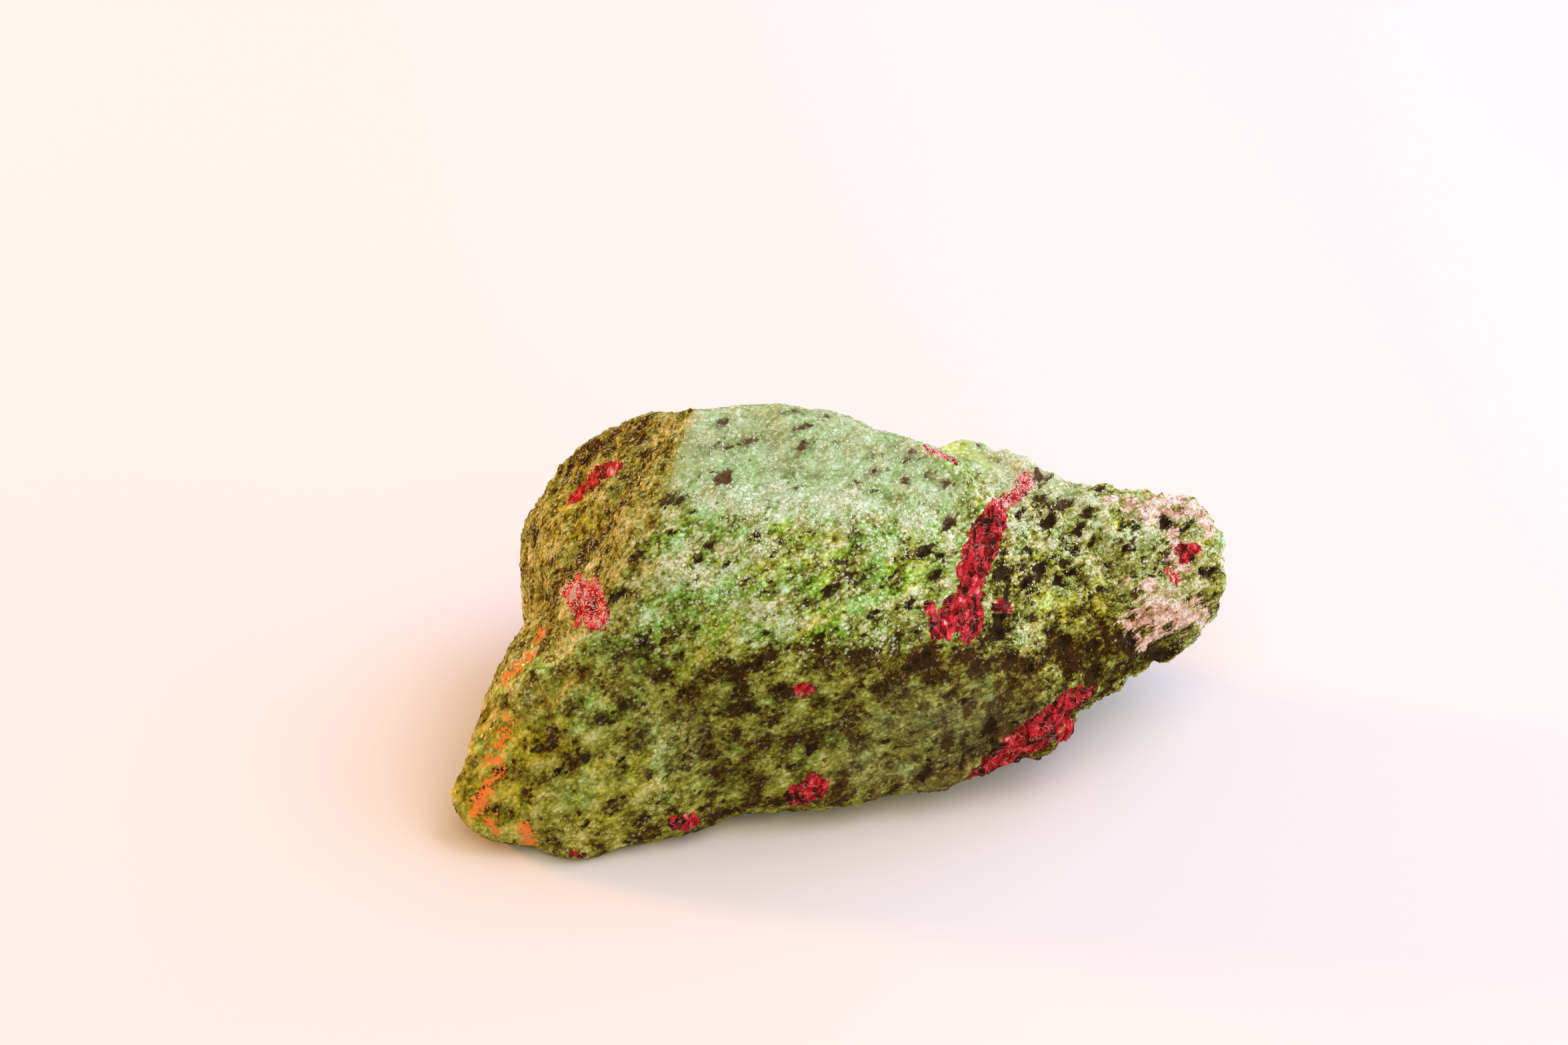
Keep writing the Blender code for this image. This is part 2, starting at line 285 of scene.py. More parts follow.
# Hornblende: black crystals a millimetre or three long. The large ones in view are placed one by one
# (x, y, z, length); the others are scattered, thickest in the dark joints and low on the front, and
# thinnest on the smooth top.
LARGE_FLECKS = [
    (-10, 8, 32, 2), (-12.5, 3.5, 31, 2.4), (-13, 7, 32.5, 1.3), (-12.5, 9.5, 33, 1.2),
    (-16.5, 1, 30, 1.6), (-4.5, 10, 32, 1.9), (-4.5, 8, 31, 1.4), (-5.5, 5.5, 30, 1.1),
    (-5, 3.5, 29.5, 1.1), (-2, 12.5, 31.5, 1), (1, 5.5, 28.5, 1.3), (2.5, 9, 29.5, 1.2),
    (5, 10.5, 29.5, 1.1), (6, 7, 28, 1.2), (10.5, 8, 26.5, 1.5), (-8, 1, 29, 1.4), (-9, -2, 28, 1.5),
    (-14, -3, 27.5, 1.5), (-15, -4, 26.5, 1.3), (-0.5, -2.5, 25, 1.6), (-1.5, -5.5, 24, 2),
    (2.5, -6.5, 21.5, 1.6), (6.5, -4.5, 21.5, 2), (10.5, 4.5, 24, 2.2), (8, 1, 23.5, 2.4),
    (6, 0, 24, 1.3), (9, -1, 22, 1.6), (19, 4, 21, 1.6), (20, 3, 19.5, 2.5), (18.5, 1, 19.5, 1.8),
    (22.5, 4, 19.5, 1.6), (22, 2, 18.5, 1.7), (15.5, 0.5, 21, 2.1), (16.5, -1, 19.5, 1.8),
    (25.5, 6.5, 20, 1.5), (26.5, 2.5, 17, 2), (29, 6.5, 19, 1.7), (31.5, 5, 17, 1.6), (24, 7.5, 21, 2),
    (21, 7.5, 22, 2.4), (25, 9, 22, 2), (22.5, 10, 22.5, 2.7), (18, 7.5, 23, 1.6), (15.5, -4.5, 18, 2.9),
    (25, -2.5, 13.5, 2), (29, -1, 13, 2.2), (-27, -12.5, 15, 1.5), (-22, -14.5, 12.5, 1.5),
    (-10, -11.5, 19, 2.5), (8, -9, 18.5, 2.1),
]
SCATTERED_FLECKS = 700
LONGEST_SCATTERED = 2.4  # mm


def grow_hornblende():
    """Signed distance in millimetres from each point of the skin to the nearest fleck's edge."""
    chance = np.random.default_rng(41)
    crowd = mixed(0.3, nose=0.35, front=0.5, umber=0.6) * (1 - 0.1 * zones["mint"])
    crowd[(fields["ruby"] < 0.3) | (fields["cream"] < 0)] = 0
    scattered = chance.choice(len(points), SCATTERED_FLECKS, replace=False, p=crowd / crowd.sum())
    lengths = chance.lognormal(-0.1, 0.35, SCATTERED_FLECKS)
    flecks = [(Vector(fleck[:3]), fleck[3]) for fleck in LARGE_FLECKS]
    for i, length in zip(scattered, lengths):
        flecks.append((Vector(points[i]), min(length * (1 + 0.15 * nose[i]), LONGEST_SCATTERED)))
    tree = kdtree.KDTree(len(points))
    for i, place in enumerate(points):
        tree.insert(place, i)
    tree.balance()
    edge = np.full(len(points), 1.0)
    wobble = 0.5 * np.array([noise.noise_vector(p) for p in points / 0.9])
    for middle, length in flecks:
        _, here, _ = tree.find(middle)
        up = Vector(facing[here])
        turn = float(rise(x[here], 2, 14))
        strike = Vector((0.85, 0.5, 0.2)).lerp(Vector((0.6, 0.8, 0.25)), turn)
        strike += Vector(chance.normal(0, 0.18 + 0.35 * turn, 3))
        strike = (strike - up * strike.dot(up)).normalized()
        across = up.cross(strike)
        slim = chance.uniform(0.28, 0.52) + 0.08 * turn
        half = np.array([length / 2, length / 2 * slim, 0.8 * length * slim])
        near = [i for _, i, _ in tree.find_range(middle, length / 2 + 1)]
        offset = points[near] + wobble[near] - np.array(middle)
        local = np.stack([offset @ np.array(axis) for axis in (strike, across, up)], 1)
        edge[near] = np.minimum(edge[near], (np.linalg.norm(local / half, axis=1) - 1) * half[1])
    return edge


fields["hornblende"] = grow_hornblende()


def crumbs(places, size):
    """Rounded crumbs of about that many millimetres, 0.5 on top and below 0 in the creases."""
    warped = places + 0.25 * size * np.array([noise.noise_vector(p) for p in places / size * 1.3])
    return 0.5 - np.array([noise.voronoi(p)[0][0] for p in warped / size])


# Two hollows sharper than the solid's: under the ruby ledge near the nose, and down the left face.
UNDERCUT = [(25, -5.5, 6.8, 0.4), (28, -3.5, 8, 0.9), (31, -1.5, 9, 0.8), (35, 1, 10.5, 0.5)]
VALLEY = [(-22, 7.5, 30, 0.1), (-24.5, 4.5, 28, 0.2), (-27, 2.8, 25, 0.3), (-29, 1.2, 22, 0.3),
          (-31.5, -1, 18.5, 0.1)]


def hammered_relief():
    """Height in millimetres, from about -1.6 to 0.6, to raise or sink each point of the skin."""
    coat = rise(fields["cream"], 0.3, -0.3)
    smooth = np.maximum(zones["mint"], 0.4 * coat)
    crumbly = np.maximum.reduce([nose, 0.8 * zones["white"], 0.55 * front, 0.5 * zones["fibre"]])
    crumbly *= 1 - smooth
    height = 0.16 * swell(points, 3.4) + 0.12 * swell(points + 40, 1.0) * (1 - 0.6 * smooth)
    height += 0.85 * nose * (1 - 0.8 * coat) * crumbs(points, 2.1)
    height += 0.5 * np.maximum(crumbly, 0.4 * (1 - smooth)) * crumbs(points + 20, 1.1)
    along_ribs = points @ np.array([[0.88, -0.3, -0.2], [0.35, 0.8, 0.3], [0.3, -0.45, 0.85]])
    height += 0.22 * (zones["fibre"] + 0.3 * front) * swell(along_ribs, 1.0, 2, (1, 4, 1))
    steps = np.array([noise.noise(noise.voronoi(p)[1][0] * 3.7) for p in points / (1.0, 1.9, 1.3)])
    height += (0.06 + 0.26 * rise(fields["ruby"], 0.1, -0.2)) * steps
    height -= (0.12 + 0.22 * nose) * rise(fields["hornblende"], 0.1, -0.3) * (1 - 0.5 * smooth)
    height -= 0.28 * zones["umber"] + 0.12 * zones["moss"]
    height -= 1.1 * rise(distance_to(points, [UNDERCUT]), 2.6, 0)
    return height - 0.8 * rise(distance_to(points, [VALLEY]), 2.4, 0)


height = hammered_relief()
held = rise(z, 0.05, 1.2)[:, None]  # the flat underside stays as it is
moved = np.clip(points + facing * height[:, None] * held, *np.array(solid_box) * 1000)
skin.vertices.foreach_set("co", (moved / 1000).astype(np.float32).ravel())
skin.shade_smooth()
skin.update()
# The relief, kept for the finish, which paints the rock darker where it is low: painted shade in the
# hollows.
fields["height"] = np.clip(height / 0.4, -1, 1)


def write_values(values_by_name):
    """Gives the skin's points named numbers, which the grains and the finishes read."""
    for name, values in values_by_name.items():
        made = skin.attributes.new(name, "FLOAT", "POINT")
        made.data.foreach_set("value", values.astype(np.float32))


write_values(fields)

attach(stone, "root")
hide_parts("stone")

# ---------------------------------------------------------------------------------------------
# Sugar grains, hornblende crystals and ruby grains
# Where the rock broke, single grains stand out of it: splinters of zoisite as fine as sand, black
# blades of hornblende lying with the grain of the rock, and blocky bits of ruby in its band and pads.
# ---------------------------------------------------------------------------------------------


def node(tree, kind, feeds=None, **settings):
    """Adds a node. feeds gives its inputs, by name or number, a value or another node's output."""
    made = tree.nodes.new(kind)
    for name, value in settings.items():
        setattr(made, name, value)
    for socket, value in (feeds or {}).items():
        if isinstance(value, bpy.types.NodeSocket):
            tree.links.new(value, made.inputs[socket])
        else:
            made.inputs[socket].default_value = value
    return made


def scaled(tree, vector, factor):
    feeds = {0: vector, "Scale": factor}
    return node(tree, "ShaderNodeVectorMath", feeds, operation="SCALE").outputs[0]


def make_grain_scatter():
    """Grains sown on a surface where its Crowd attribute says, turned to a strike and half sunk in it."""
    tree = bpy.data.node_groups.new("grains on the rock", "GeometryNodeTree")
    tree.interface.new_socket("Rock", in_out="INPUT", socket_type="NodeSocketGeometry")
    inputs = {"Crowd": "String", "Per Square Metre": "Float", "Sides": "Int", "Point": "Float",
              "Smallest": "Vector", "Largest": "Vector", "Strike": "Vector", "Wander": "Vector",
              "Sink": "Float", "Seed": "Int", "Finish": "Material"}
    for name, kind in inputs.items():
        tree.interface.new_socket(name, in_out="INPUT", socket_type="NodeSocket" + kind)
    tree.interface.new_socket("Grains", in_out="OUTPUT", socket_type="NodeSocketGeometry")
    given = tree.nodes.new("NodeGroupInput").outputs
    result = tree.nodes.new("NodeGroupOutput").inputs

    crowd = node(tree, "GeometryNodeInputNamedAttribute", {"Name": given["Crowd"]}, data_type="FLOAT")
    density = node(tree, "ShaderNodeMath", {0: crowd.outputs[0], 1: given["Per Square Metre"]},
                   operation="MULTIPLY")
    spots = node(tree, "GeometryNodeDistributePointsOnFaces",
                 {"Mesh": given["Rock"], "Density": density.outputs[0], "Seed": given["Seed"]})
    depth = node(tree, "ShaderNodeMath", {0: given["Sink"], 1: -1.0}, operation="MULTIPLY")
    inward = scaled(tree, spots.outputs["Normal"], depth.outputs[0])
    sunk = node(tree, "GeometryNodeSetPosition", {"Geometry": spots.outputs["Points"], "Offset": inward})
    laid = node(tree, "FunctionNodeAlignRotationToVector",
                {"Rotation": spots.outputs["Rotation"], "Vector": given["Strike"]},
                axis="X", pivot_axis="Z")
    sway = node(tree, "FunctionNodeRandomValue",
                {0: scaled(tree, given["Wander"], -1.0), 1: given["Wander"], "Seed": given["Seed"]},
                data_type="FLOAT_VECTOR")
    sway = node(tree, "FunctionNodeEulerToRotation", {0: sway.outputs[0]})
    turned = node(tree, "FunctionNodeRotateRotation", {0: laid.outputs[0], 1: sway.outputs[0]},
                  rotation_space="LOCAL")
    size = node(tree, "FunctionNodeRandomValue",
                {0: given["Smallest"], 1: given["Largest"], "Seed": given["Seed"]},
                data_type="FLOAT_VECTOR")
    grain = node(tree, "GeometryNodeMeshCone",
                 {"Vertices": given["Sides"], "Radius Top": given["Point"], "Radius Bottom": 0.5,
                  "Depth": 1.0})
    middled = node(tree, "GeometryNodeTransform",
                   {"Geometry": grain.outputs["Mesh"], "Translation": (0, 0, -0.5)})
    sown = node(tree, "GeometryNodeInstanceOnPoints",
                {"Points": sunk.outputs[0], "Instance": middled.outputs[0],
                 "Rotation": turned.outputs[0], "Scale": size.outputs[0]})
    lot = node(tree, "FunctionNodeRandomValue", {"Seed": given["Seed"]}, data_type="FLOAT")
    marked = node(tree, "GeometryNodeStoreNamedAttribute",
                  {"Geometry": sown.outputs[0], "Name": "pick", "Value": lot.outputs[1]},
                  data_type="FLOAT", domain="INSTANCE")
    real = node(tree, "GeometryNodeRealizeInstances", {"Geometry": marked.outputs[0]})
    dressed = node(tree, "GeometryNodeSetMaterial",
                   {"Geometry": real.outputs[0], "Material": given["Finish"]})
    tree.links.new(dressed.outputs[0], result["Grains"])
    return tree


GRAIN_SCATTER = make_grain_scatter()


def sow(name, finish, **settings):
    """A piece of grains on the stone's skin, as a plain mesh."""
    carrier = bpy.data.objects.new(name, skin)
    bpy.context.scene.collection.objects.link(carrier)
    sowing = carrier.modifiers.new("sowing", "NODES")
    sowing.node_group = GRAIN_SCATTER
    settings["Finish"] = finish
    for item in GRAIN_SCATTER.interface.items_tree:
        if item.in_out == "INPUT" and item.name.replace(" ", "_") in settings:
            sowing[item.identifier] = settings[item.name.replace(" ", "_")]
    grains = bpy.data.meshes.new_from_object(carrier.evaluated_get(bpy.context.evaluated_depsgraph_get()))
    carrier.modifiers.clear()
    carrier.data = grains
    places = np.clip(vectors_of(grains, "co"), *np.array(solid_box))
    grains.vertices.foreach_set("co", places.astype(np.float32).ravel())
    grains.update()
    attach(carrier, "root")


# How thickly each kind of grain lies, from 0 to 1: none near the flat underside.
clear = rise(z, 0.8, 1.5)
in_ruby, in_black = (rise(fields[name], 0.1, -0.1) for name in ("ruby", "hornblende"))
bare = clear * (1 - in_ruby) * (1 - in_black)
loose = rise(swell(points, 1.6), -0.3, 0.35)
sugary = np.clip(mixed(0.12, mint=0.4, white=1.0, nose=0.4, chin=-0.35, fibre=0.3, front=-0.09,
                       heel=-0.1), 0, 1)
crumbled = mixed(0.22, nose=0.5, white=0.3, fibre=0.15, front=-0.12)
write_values({
    "sugar_crowd": clear * in_ruby * fields["pale"] * 0.75 + bare * loose * sugary,
    "crumb_crowd": bare * (1 - zones["mint"]) * crumbled,
    "black_crowd": clear * in_black * (1 - 0.4 * zones["mint"]),
    "ruby_crowd": clear * in_ruby,
})

# ---------------------------------------------------------------------------------------------
# The rock's finish
# Zoisite breaks to a sugary face, dark olive in its joints, mint or lime in the body and almost white
# where grains are bruised. Ruby is glassy, hornblende black; both show bright faces here and there.
# ---------------------------------------------------------------------------------------------


def math_of(tree, operation, *values):
    return node(tree, "ShaderNodeMath", dict(enumerate(values)), operation=operation).outputs[0]


def sum_of(tree, base, *terms):
    """The base and each (value, share) multiplied out; all may be numbers or other nodes' outputs."""
    for value, share in terms:
        base = math_of(tree, "MULTIPLY_ADD", value, share, base)
    return base


def blend_of(tree, share, under, over, kind="MIX"):
    feeds = {0: share, 6: under, 7: over}
    return node(tree, "ShaderNodeMix", feeds, data_type="RGBA", blend_type=kind).outputs[2]


def slope_of(tree, value, low, high):
    """0 at low, 1 at high, smooth between."""
    feeds = {"Value": value, "From Min": low, "From Max": high}
    return node(tree, "ShaderNodeMapRange", feeds, interpolation_type="SMOOTHSTEP").outputs[0]


def noise_of(tree, where, scale, detail=3, roughness=0.6):
    feeds = {"Vector": where, "Scale": scale, "Detail": detail, "Roughness": roughness}
    return node(tree, "ShaderNodeTexNoise", feeds).outputs[0]


def stray_of(tree, where, scale, detail, roughness, middle=0.5):
    """Noise less its middle value, so that it strays as far below 0 as above."""
    return math_of(tree, "SUBTRACT", noise_of(tree, where, scale, detail, roughness), middle)


def stretched(tree, where, turn, lengths):
    """Coordinates turned and stretched, for a texture that runs along the grain of the rock."""
    feeds = {"Vector": where, "Rotation": turn, "Scale": lengths}
    return node(tree, "ShaderNodeMapping", feeds, vector_type="TEXTURE").outputs[0]


def shades_of(tree, value, stops):
    """Colours from a value: a ramp through (position, (r, g, b)) stops."""
    made = node(tree, "ShaderNodeValToRGB", {0: value})
    ramp = made.color_ramp
    while len(ramp.elements) < len(stops):
        ramp.elements.new(0.5)
    for step, (position, colour) in zip(ramp.elements, stops):
        step.position = position
        step.color = (*colour, 1)
    return made.outputs[0]


def shader_group(name, inputs, outputs):
    """A shader node group with named sockets: {name: default} in, {name: kind} out."""
    group = bpy.data.node_groups.new(name, "ShaderNodeTree")
    kinds = {float: "NodeSocketFloat", tuple: "NodeSocketVector"}
    for title, value in inputs.items():
        socket = group.interface.new_socket(title, in_out="INPUT", socket_type=kinds[type(value)])
        if isinstance(value, float):
            socket.default_value = value
    for title, kind in outputs.items():
        group.interface.new_socket(title, in_out="OUTPUT", socket_type="NodeSocket" + kind)
    given = group.nodes.new("NodeGroupInput").outputs
    result = group.nodes.new("NodeGroupOutput").inputs
    return group, given, result


def placed(tree, group, **feeds):
    """A group placed in a material; its inputs are named with _ for a space."""
    named = {name.replace("_", " "): value for name, value in feeds.items()}
    return node(tree, "ShaderNodeGroup", named, node_tree=group).outputs


def make_ragged_edge():
    """Mask of a growth or coat from its distance field, with an edge as ragged as its grains."""
    group, given, result = shader_group(
        "ragged edge",
        {"Where": (0, 0, 0), "Distance": 0.0, "Grains": 2.0, "Reach": 1.0, "Softness": 0.08},
        {"Mask": "Float"})
    bite = stray_of(group, given["Where"], given["Grains"], 4, 0.65)
    edge = sum_of(group, given["Distance"], (bite, given["Reach"]))
    below = math_of(group, "MULTIPLY", given["Softness"], -1.0)
    group.links.new(slope_of(group, edge, given["Softness"], below), result["Mask"])
    return group


def make_broken_grains():
    """Grains of a broken face: a tone that runs over lumps, clusters, crumbs and single grains, a
    random number for each grain and the way its flat face tilts."""
    group, given, result = shader_group(
        "broken grains",
        {"Where": (0, 0, 0), "Face": (0, 0, 0), "Lumps": 0.5, "Clusters": 1.3, "Crumbs": 1.6,
         "Grains": 3.2, "Patches": 0.8, "Contrast": 1.0, "Tilt": 0.3},
        {"Tone": "Float", "Pick": "Float", "Normal": "Vector"})
    where = given["Where"]
    cells = node(group, "ShaderNodeTexVoronoi", {"Vector": where, "Scale": given["Grains"]})
    split = node(group, "ShaderNodeSeparateColor", {0: cells.outputs["Color"]})
    bend = node(group, "ShaderNodeTexNoise", {"Vector": where, "Scale": given["Grains"], "Detail": 1.0})
    bend = scaled(group, bend.outputs["Color"], 0.6)
    bent = node(group, "ShaderNodeVectorMath", {0: where, 1: bend}, operation="ADD").outputs[0]
    crumb = node(group, "ShaderNodeTexVoronoi", {"Vector": bent, "Scale": given["Crumbs"]})
    crumb_pick = node(group, "ShaderNodeSeparateColor", {0: crumb.outputs["Color"]}).outputs[0]
    clusters = slope_of(group, noise_of(group, where, given["Clusters"], 4, 0.7), 0.41, 0.59)
    tone = math_of(group, "MULTIPLY", math_of(group, "SUBTRACT", split.outputs[0], 0.5), 0.36)
    tone = sum_of(group, tone, (math_of(group, "SUBTRACT", 0.5, cells.outputs["Distance"]), 0.34),
                  (math_of(group, "SUBTRACT", crumb_pick, 0.5), 0.22),
                  (math_of(group, "SUBTRACT", clusters, 0.5), 0.24))
    tone = math_of(group, "MULTIPLY", tone, given["Contrast"])
    tone = sum_of(group, tone, (stray_of(group, where, given["Lumps"], 2, 0.5), given["Patches"]))
    group.links.new(tone, result["Tone"])
    group.links.new(split.outputs[1], result["Pick"])
    lean = node(group, "ShaderNodeVectorMath", {0: cells.outputs["Color"], 1: (0.5, 0.5, 0.5)},
                operation="SUBTRACT")
    lean = scaled(group, lean.outputs[0], given["Tilt"])
    tilted = node(group, "ShaderNodeVectorMath", {0: given["Face"], 1: lean}, operation="ADD")
    tilted = node(group, "ShaderNodeVectorMath", {0: tilted.outputs[0]}, operation="NORMALIZE")
    group.links.new(tilted.outputs[0], result["Normal"])
    return group


def make_specks():
    """Mask of scattered specks: Share of the cells hold one, about Size across, with a ragged rim."""
    group, given, result = shader_group(
        "specks", {"Where": (0, 0, 0), "Cells": 1.4, "Share": 0.2, "Size": 0.3},
        {"Mask": "Float"})
    cells = node(group, "ShaderNodeTexVoronoi", {"Vector": given["Where"], "Scale": given["Cells"]})
    lot = node(group, "ShaderNodeSeparateColor", {0: cells.outputs["Color"]}).outputs[2]
    held = math_of(group, "LESS_THAN", lot, given["Share"])
    rim = sum_of(group, cells.outputs["Distance"], (stray_of(group, given["Where"], 4.0, 3, 0.7), 0.7))
    inner = math_of(group, "MULTIPLY", given["Size"], 0.6)
    mask = math_of(group, "MULTIPLY", held, slope_of(group, rim, given["Size"], inner))
    group.links.new(mask, result["Mask"])
    return group


RAGGED_EDGE = make_ragged_edge()
BROKEN_GRAINS = make_broken_grains()
SPECKS = make_specks()
# Colours from dark to light: zoisite from its joints to bruised grains, the mint zone, ruby, the coat.
# HUES is what a colour is multiplied by, from cool green to warm brown.
ZOISITE = [(0, (0.034, 0.019, 0.004)), (0.12, (0.075, 0.055, 0.010)), (0.26, (0.125, 0.145, 0.018)),
           (0.40, (0.205, 0.270, 0.042)), (0.52, (0.290, 0.375, 0.085)), (0.64, (0.39, 0.49, 0.165)),
           (0.80, (0.52, 0.64, 0.38)), (1, (0.70, 0.82, 0.66))]
MINT = [(0, (0.09, 0.075, 0.03)), (0.3, (0.18, 0.19, 0.080)), (0.5, (0.27, 0.36, 0.155)),
        (0.65, (0.36, 0.50, 0.24)), (0.8, (0.46, 0.60, 0.36)), (1, (0.66, 0.79, 0.64))]
HUES = [(0.22, (0.74, 1.12, 0.80)), (0.40, (0.90, 1.05, 0.88)), (0.52, (1.0, 1.0, 1.0)),
        (0.64, (1.09, 0.97, 0.86)), (0.82, (1.18, 0.92, 0.70))]
RUBY = [(0, (0.025, 0.010, 0.005)), (0.2, (0.12, 0.009, 0.007)), (0.4, (0.29, 0.010, 0.012)),
        (0.6, (0.52, 0.016, 0.026)), (0.8, (0.68, 0.04, 0.06)), (0.95, (0.62, 0.22, 0.21)),
        (1, (0.72, 0.50, 0.45))]
CREAM_COAT = [(0, (0.16, 0.09, 0.035)), (0.2, (0.38, 0.22, 0.125)), (0.45, (0.56, 0.37, 0.25)),
              (0.65, (0.72, 0.49, 0.39)), (0.85, (0.80, 0.63, 0.56)), (1, (0.84, 0.78, 0.74))]


def millimetres(tree):
    """Object coordinates in millimetres."""
    return scaled(tree, node(tree, "ShaderNodeTexCoord").outputs["Object"], 1000.0)


def field(tree, name):
    return node(tree, "ShaderNodeAttribute", attribute_name=name).outputs["Fac"]


def finish_for(name, **uniform):
    """A new material, its tree and its surface shader, with these numbers all over the surface."""
    material = bpy.data.materials.new(name)
    material.use_nodes = True
    surface = material.node_tree.nodes["Principled BSDF"]
    for socket, value in uniform.items():
        surface.inputs[socket.replace("_", " ")].default_value = value
    return material, material.node_tree, surface


def rock_finish():
    material, tree, surface = finish_for("ruby in zoisite rock", Roughness=0.85, Coat_Roughness=0.2,
                                         Specular_IOR_Level=0.08)
    where = millimetres(tree)
    face = node(tree, "ShaderNodeNewGeometry").outputs["Normal"]
    drawn = stretched(tree, where, (0, -0.2, 0.55), (1.3, 0.95, 0.95))
    banded = stretched(tree, where, (0, 0, -0.2), (0.8, 1.9, 1.2))
    streaked = stretched(tree, where, (0, -0.4, 0.4), (3.2, 0.9, 0.9))
    torn = stretched(tree, where, (0, -0.7, 0.74), (4, 1, 1))
    tone, mint, umber = field(tree, "tone"), field(tree, "mint"), field(tree, "umber")

    # Where ruby, hornblende, the cream coat and the orange marks lie, as masks.
    ruby = placed(tree, RAGGED_EDGE, Where=where, Distance=field(tree, "ruby"), Grains=1.3,
                  Reach=2.2)["Mask"]
    black = placed(tree, RAGGED_EDGE, Where=drawn, Distance=field(tree, "hornblende"), Grains=2.0,
                   Reach=1.1, Softness=0.10)["Mask"]
    cream = placed(tree, RAGGED_EDGE, Where=streaked, Grains=1.2, Reach=10.0,
                   Distance=math_of(tree, "ADD", field(tree, "cream"), 0.25))["Mask"]
    orange_marks = placed(tree, RAGGED_EDGE, Where=where, Distance=field(tree, "orange_marks"), Grains=2.4,
                  Reach=5.0)["Mask"]

    # Grains of the rock and larger ones of ruby, dark specks painted as the shade in small pits, and
    # bruised grains in flocks.
    grains = placed(tree, BROKEN_GRAINS, Where=drawn, Face=face, Patches=field(tree, "patches"),
                    Contrast=field(tree, "contrast"), Tilt=0.4)
    bright = placed(tree, BROKEN_GRAINS, Where=banded, Face=face, Lumps=0.7, Clusters=0.8, Crumbs=0.9,
                    Grains=1.6, Patches=0.5, Contrast=1.5, Tilt=0.6)
    plenty = sum_of(tree, 0.26, (umber, 0.4), (mint, -0.18))
    # Dark specks for small pits: painted shade.
    shaded_pits = placed(tree, SPECKS, Where=drawn, Cells=1.3, Share=plenty, Size=0.42)["Mask"]
    flock = slope_of(tree, noise_of(tree, drawn, 0.9, 3, 0.6), 0.48, 0.62)
    plenty = sum_of(tree, 0.05, (flock, 0.45), (field(tree, "white"), 0.35))
    bruises = placed(tree, SPECKS, Where=drawn, Cells=3.0, Share=plenty, Size=0.6)["Mask"]

    # How light the zoisite is, with painted shade in its low places and small pits, then its colour:
    # milky, strayed in hue, yellowed and bruised in turn.
    halo = slope_of(tree, field(tree, "hornblende"), 0.8, 0.0)
    fibres = math_of(tree, "MULTIPLY", stray_of(tree, torn, 1.5, 3, 0.65), field(tree, "fibre"))
    # Low places of the relief are painted darker as shade, and so are the pit specks.
    value = sum_of(tree, math_of(tree, "ADD", grains["Tone"], tone), (field(tree, "height"), 0.10),
                   (shaded_pits, -0.32), (bruises, 0.12), (halo, -0.18), (fibres, 0.8))
    colour = blend_of(tree, field(tree, "pastel"), shades_of(tree, value, ZOISITE),
                      shades_of(tree, value, MINT))
    # The hue leans brown with the brown field, which is partly painted warm light.
    hue = sum_of(tree, math_of(tree, "ADD", field(tree, "brown_and_warm_light"), 0.5),
                 (stray_of(tree, drawn, 0.45, 3, 0.6, 0.51), field(tree, "swing")))
    colour = blend_of(tree, 1.0, colour, shades_of(tree, hue, HUES), "MULTIPLY")
    yellow = sum_of(tree, noise_of(tree, where, 0.55, 3, 0.6), (field(tree, "lime"), 0.3))
    yellowed = blend_of(tree, 1.0, colour, (1.04, 1.03, 0.5, 1), "MULTIPLY")
    colour = blend_of(tree, slope_of(tree, yellow, 0.52, 0.68), colour, yellowed)
    white = blend_of(tree, slope_of(tree, grains["Pick"], 0.2, 0.5), (0.80, 0.80, 0.58, 1),
                     (0.73, 0.86, 0.76, 1))
    bruises = math_of(tree, "MULTIPLY", bruises, field(tree, "bruised"))
    colour = blend_of(tree, math_of(tree, "MULTIPLY", bruises, 0.9), colour, white)

    # Over it the coat, ruby with its pale seams, hornblende with zoisite dust on it and a painted sheen
    # on the mint top, and the orange marks.
    coat = sum_of(tree, -0.15, (grains["Tone"], 1.3), (noise_of(tree, streaked, 1.1, 3, 0.65), 1.7))
    colour = blend_of(tree, cream, colour, shades_of(tree, coat, CREAM_COAT))
    red = sum_of(tree, 0.265, (field(tree, "pale"), 0.34), (tone, 0.2), (bright["Tone"], 1.0))
    seam = math_of(tree, "ABSOLUTE", stray_of(tree, drawn, 1.1, 2, 0.5))
    seam = math_of(tree, "MULTIPLY", slope_of(tree, seam, 0.022, 0.0), 0.6)
    red = blend_of(tree, seam, shades_of(tree, red, RUBY), (0.60, 0.30, 0.26, 1))
    colour = blend_of(tree, ruby, colour, red)
    powder = math_of(tree, "MAXIMUM", math_of(tree, "MULTIPLY", grains["Tone"], 0.7), 0.0)
    # Hornblende lightens and browns with the grains' dust and, on the mint top, with painted sheen.
    dust_and_sheen = sum_of(tree, powder, (bright["Pick"], 0.25), (mint, 0.6))
    black_with_dust_and_sheen = blend_of(tree, dust_and_sheen, (0.014, 0.008, 0.002, 1), (0.13, 0.085, 0.035, 1))
    colour = blend_of(tree, black, colour, black_with_dust_and_sheen)
    # Orange painted on the crests at the far left.
    colour = blend_of(tree, orange_marks, colour, (0.90, 0.25, 0.06, 1))
    tree.links.new(colour, surface.inputs["Base Color"])

